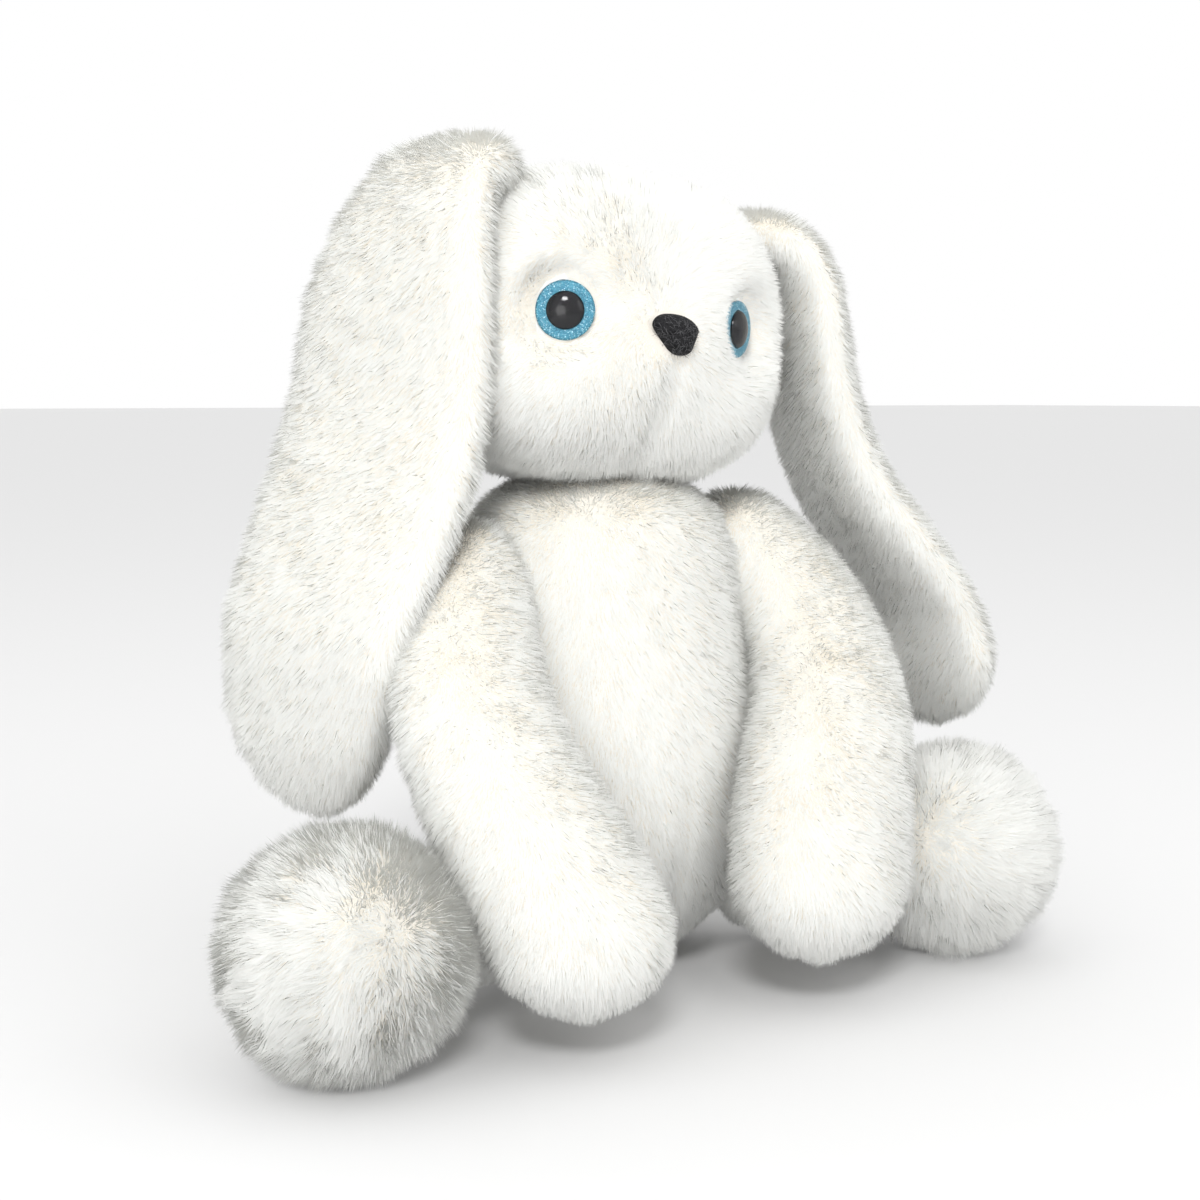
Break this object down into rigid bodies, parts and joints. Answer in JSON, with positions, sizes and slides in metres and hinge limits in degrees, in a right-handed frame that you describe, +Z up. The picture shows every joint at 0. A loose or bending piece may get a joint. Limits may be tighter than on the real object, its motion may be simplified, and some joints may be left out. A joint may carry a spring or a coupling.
{
  "type": "stuffed bunny rabbit",
  "caption": "Seated white fur-fabric rabbit soft toy with long lop ears, blue glitter eyes, a flocked black nose, mitten paws and big round shaggy feet.",
  "frame": {"origin": "on the surface the rabbit sits on, on the flat of its seat, below the middle of the neck", "axes": "+X to the rabbit's left, +Y behind it, so that it faces -Y, and +Z up"},
  "size_m": [0.3359, 0.2105, 0.2984],
  "materials": {
    "fur": "matte",
    "shaggy_fur": "matte",
    "filling": "matte",
    "calico": "matte",
    "blue_glitter": "gloss",
    "black_gloss": "gloss",
    "clear_lens": "gloss",
    "black_flock": "matte",
    "washer_plastic": "satin"
  },
  "bodies": {
    "torso": {"torso_shell": "fur", "torso_stuffing": "filling", "seat_pellet_bag": "calico", "tail_pompom": "fur"},
    "head": {"head_shell": "fur", "head_stuffing": "filling", "nose_cap": "black_flock", "nose_washer": "washer_plastic", "eye_right_iris": "blue_glitter", "eye_right_pupil": "black_gloss", "eye_right_lens": "clear_lens", "eye_right_washer": "washer_plastic", "eye_left_iris": "blue_glitter", "eye_left_pupil": "black_gloss", "eye_left_lens": "clear_lens", "eye_left_washer": "washer_plastic"},
    "ear_right": {"ear_right_outer_panel": "fur", "ear_right_wadding": "filling", "ear_right_lining": "fur"},
    "arm_right": {"arm_right_shell": "fur", "arm_right_stuffing": "filling"},
    "leg_right": {"leg_right_shell": "fur", "leg_right_stuffing": "filling", "foot_right_shell": "shaggy_fur", "foot_right_stuffing": "filling"},
    "ear_left": {"ear_left_outer_panel": "fur", "ear_left_wadding": "filling", "ear_left_lining": "fur"},
    "arm_left": {"arm_left_shell": "fur", "arm_left_stuffing": "filling"},
    "leg_left": {"leg_left_shell": "fur", "leg_left_stuffing": "filling", "foot_left_shell": "shaggy_fur", "foot_left_stuffing": "filling"}
  },
  "joints": [
    {"name": "head_nod", "type": "hinge", "parent": "torso", "child": "head", "pos_m": [0, 0, 0.155], "axis": [1, 0, 0], "range_deg": [-4, 10]},
    {"name": "ear_right_lift", "type": "hinge", "parent": "head", "child": "ear_right", "pos_m": [-0.046, 0.005, 0.285], "axis": [-0.342, 0.9397, 0], "range_deg": [0, 65]},
    {"name": "arm_right_swing", "type": "hinge", "parent": "torso", "child": "arm_right", "pos_m": [-0.057, -0.006, 0.15], "axis": [-1, 0, 0], "range_deg": [0, 20]},
    {"name": "leg_right_swing", "type": "hinge", "parent": "torso", "child": "leg_right", "pos_m": [-0.063, -0.022, 0.032], "axis": [-0.552, 0.8339, 0], "range_deg": [-60, 0]},
    {"name": "ear_left_lift", "type": "hinge", "parent": "head", "child": "ear_left", "pos_m": [0.052, 0.005, 0.279], "axis": [-0.342, -0.9397, 0], "range_deg": [0, 65]},
    {"name": "arm_left_swing", "type": "hinge", "parent": "torso", "child": "arm_left", "pos_m": [0.057, -0.006, 0.15], "axis": [-1, 0, 0], "range_deg": [0, 30]},
    {"name": "leg_left_swing", "type": "hinge", "parent": "torso", "child": "leg_left", "pos_m": [0.063, -0.022, 0.032], "axis": [-0.6635, -0.7482, 0], "range_deg": [-60, 0]}
  ]
}
